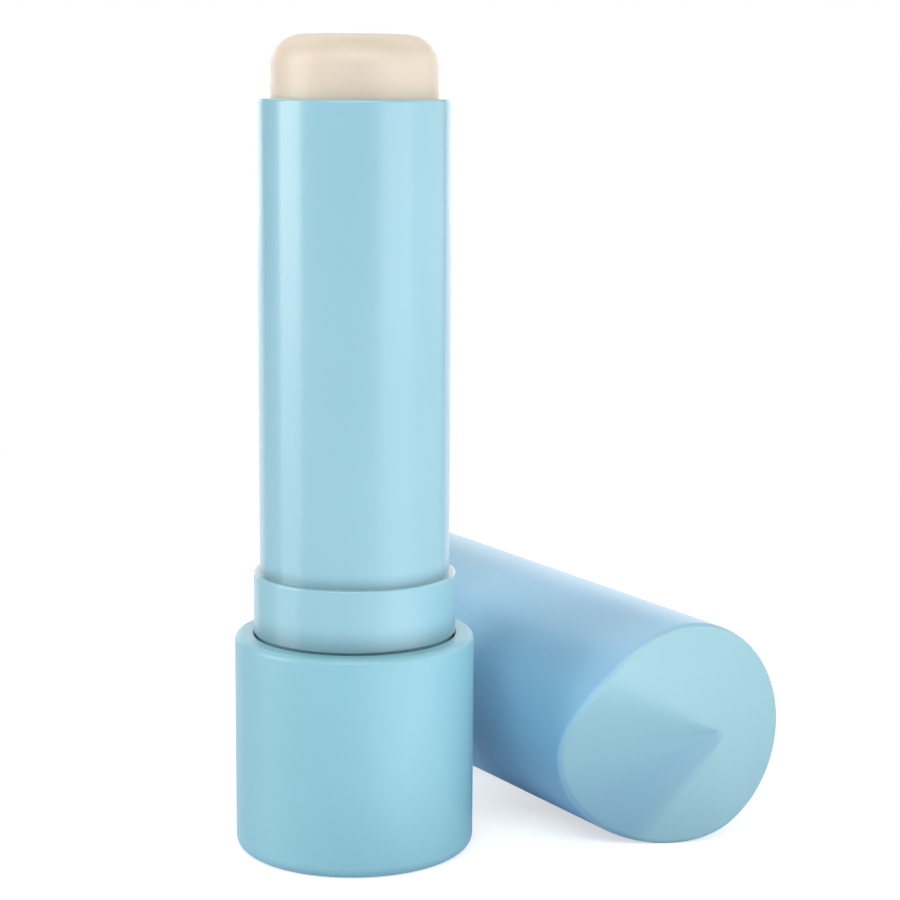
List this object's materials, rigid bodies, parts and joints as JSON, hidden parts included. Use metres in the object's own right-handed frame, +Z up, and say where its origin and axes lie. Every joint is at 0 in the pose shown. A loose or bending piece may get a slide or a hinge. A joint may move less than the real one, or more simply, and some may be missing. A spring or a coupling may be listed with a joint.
{
  "type": "lip balm stick",
  "caption": "Twist-up lip balm stick: a round tube in a wider base, a screw-driven carrier with the balm, and a taken-off cap with a thumb scoop.",
  "frame": {"origin": "centre of the base's flat foot, on the surface that the stick stands on", "axes": "+Z up the stick's axis, towards the balm; -Y towards the viewer of the reference view; +X to that viewer's right"},
  "size_m": [0.0438, 0.0531, 0.0642],
  "materials": {
    "blue_base": "satin light blue polypropylene",
    "blue_tube": "satin light blue polypropylene, a little glossier",
    "blue_cap": "satin light blue polypropylene",
    "white_screw": "smooth natural white acetal",
    "white_carrier": "smooth natural white polypropylene",
    "balm_wax": "waxy cream, soft sheen"
  },
  "bodies": {
    "base": {"base_shell": "blue_base", "feed_screw": "white_screw", "cap": "blue_cap"},
    "tube": {"tube": "blue_tube"},
    "carriage": {"carrier": "white_carrier", "balm": "balm_wax"}
  },
  "joints": [
    {"name": "twist", "type": "hinge", "parent": "base", "child": "tube", "pos_m": [0, 0, 0], "axis": [0, 0, 1], "range_deg": [-514, 2251]},
    {"name": "feed", "type": "slide", "parent": "tube", "child": "carriage", "axis": [0, 0, 1], "range_m": [-0.0057, 0.025]}
  ],
  "couplings": [
    {"joint": "twist", "follows": "feed", "rad_per_m": 1570.8}
  ]
}
